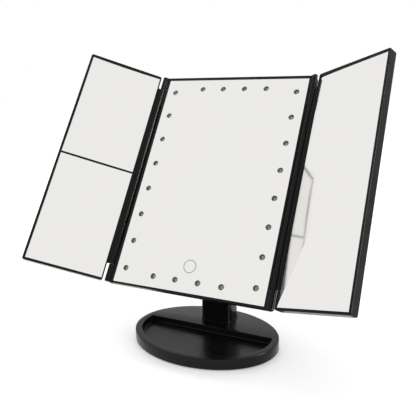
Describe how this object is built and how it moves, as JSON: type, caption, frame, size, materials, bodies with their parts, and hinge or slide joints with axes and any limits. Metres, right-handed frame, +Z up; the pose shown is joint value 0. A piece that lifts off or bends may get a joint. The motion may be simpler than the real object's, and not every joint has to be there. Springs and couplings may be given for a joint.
{
  "type": "lighted vanity mirror",
  "caption": "Tabletop make-up mirror: a tilting lighted panel with folding side mirrors on a battery column, over an oval tray base.",
  "frame": {"origin": "on the tabletop under the middle of the oval base, at the underside of the soft pad", "axes": "+X across the mirror to the right as the user sees it, -Y towards the user, +Z up"},
  "size_m": [0.3357, 0.1903, 0.3031],
  "materials": {
    "black_abs": "semi-gloss moulded",
    "black_inner": "matte moulded",
    "mirror_glass": "silvered",
    "pad_foam": "closed-cell foam",
    "ballast_steel": "plain sheared plate",
    "zinc_steel": "zinc plated",
    "nickel_steel": "nickel plated",
    "hinge_steel": "drawn wire",
    "cell_wrap": "printed sleeve over a cell",
    "circuit_board": "solder mask",
    "copper_foil": "bare copper"
  },
  "bodies": {
    "stand": {"base_shell": "black_abs", "base_bottom_cover": "black_inner", "ballast_plate": "ballast_steel", "non_slip_pad": "pad_foam", "base_screw_1": "zinc_steel", "base_screw_2": "zinc_steel", "base_screw_3": "zinc_steel", "base_screw_4": "zinc_steel", "column_screw_1": "zinc_steel", "column_screw_2": "zinc_steel", "column_shell": "black_abs", "battery_1": "cell_wrap", "battery_2": "cell_wrap", "battery_3": "cell_wrap", "battery_4": "cell_wrap", "battery_link_plate": "nickel_steel", "battery_spring_lower": "nickel_steel", "battery_spring_upper": "nickel_steel", "battery_contact_positive": "nickel_steel", "battery_contact_negative": "nickel_steel"},
    "battery_door": {"battery_cover": "black_abs"},
    "mirror_panel": {"pivot_bracket": "black_abs", "pivot_bolt": "zinc_steel", "pivot_nut": "zinc_steel", "friction_washer_left": "hinge_steel", "friction_washer_right": "hinge_steel", "pivot_cap_left": "black_abs", "pivot_cap_right": "black_abs", "bracket_screw_1": "zinc_steel", "bracket_screw_2": "zinc_steel", "bracket_screw_3": "zinc_steel", "bracket_screw_4": "zinc_steel", "centre_frame": "black_abs", "centre_mirror": "mirror_glass", "back_shell": "black_abs", "left_hinge_pin_lower": "hinge_steel", "left_hinge_pin_upper": "hinge_steel", "right_hinge_pin_lower": "hinge_steel", "right_hinge_pin_upper": "hinge_steel", "led_mask_plate": "black_inner", "led_strip_left": "circuit_board", "led_strip_right": "circuit_board", "led_strip_top": "circuit_board", "led_strip_bottom": "circuit_board", "touch_sensor": "copper_foil", "control_board": "circuit_board", "usb_socket": "nickel_steel", "panel_screw_1": "nickel_steel", "panel_screw_2": "nickel_steel", "panel_screw_3": "nickel_steel", "panel_screw_4": "nickel_steel"},
    "left_wing": {"left_wing_frame": "black_abs", "left_mirror_upper": "mirror_glass", "left_mirror_lower": "mirror_glass", "left_back_cover": "black_abs"},
    "right_wing": {"right_wing_frame": "black_abs", "right_mirror": "mirror_glass", "right_back_cover": "black_abs"}
  },
  "joints": [
    {"name": "panel_tilt", "type": "hinge", "parent": "stand", "child": "mirror_panel", "pos_m": [0, 0.0365, 0.1434], "axis": [-1, 0, 0], "range_deg": [-34.3, 55.7]},
    {"name": "left_wing_fold", "type": "hinge", "parent": "mirror_panel", "child": "left_wing", "pos_m": [-0.0888, 0.02073, 0.17298], "axis": [0, 0.5635, 0.8261], "range_deg": [-36.7, 143]},
    {"name": "right_wing_fold", "type": "hinge", "parent": "mirror_panel", "child": "right_wing", "pos_m": [0.0888, 0.02073, 0.17298], "axis": [0, -0.5635, -0.8261], "range_deg": [-28.6, 151]},
    {"name": "battery_door_release", "type": "slide", "parent": "stand", "child": "battery_door", "axis": [0, 1, 0], "range_m": [0, 0.03]}
  ]
}
